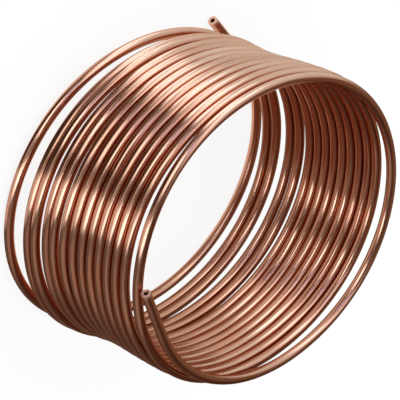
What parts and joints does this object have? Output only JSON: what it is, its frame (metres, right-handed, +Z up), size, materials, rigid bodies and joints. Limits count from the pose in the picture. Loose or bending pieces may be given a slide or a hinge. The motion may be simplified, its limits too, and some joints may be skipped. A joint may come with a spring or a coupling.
{
  "type": "copper tube coil",
  "caption": "Round copper tube wound into one open coil that stands on its end, with both square-cut ends free to be joined to fittings.",
  "frame": {"origin": "middle of the coil's bounding box, at the floor that the last turn stands on", "axes": "+Z up along the coil's axis, from the last turn to the loose first turn; +X across the coil towards the side that the top end stands on; +Y across it, towards the side where the turns line up"},
  "size_m": [0.1444, 0.128, 0.0738],
  "materials": {
    "copper": "bright drawn copper, lightly tarnished"
  },
  "bodies": {
    "root": {"copper_tube": "copper"}
  },
  "joints": []
}
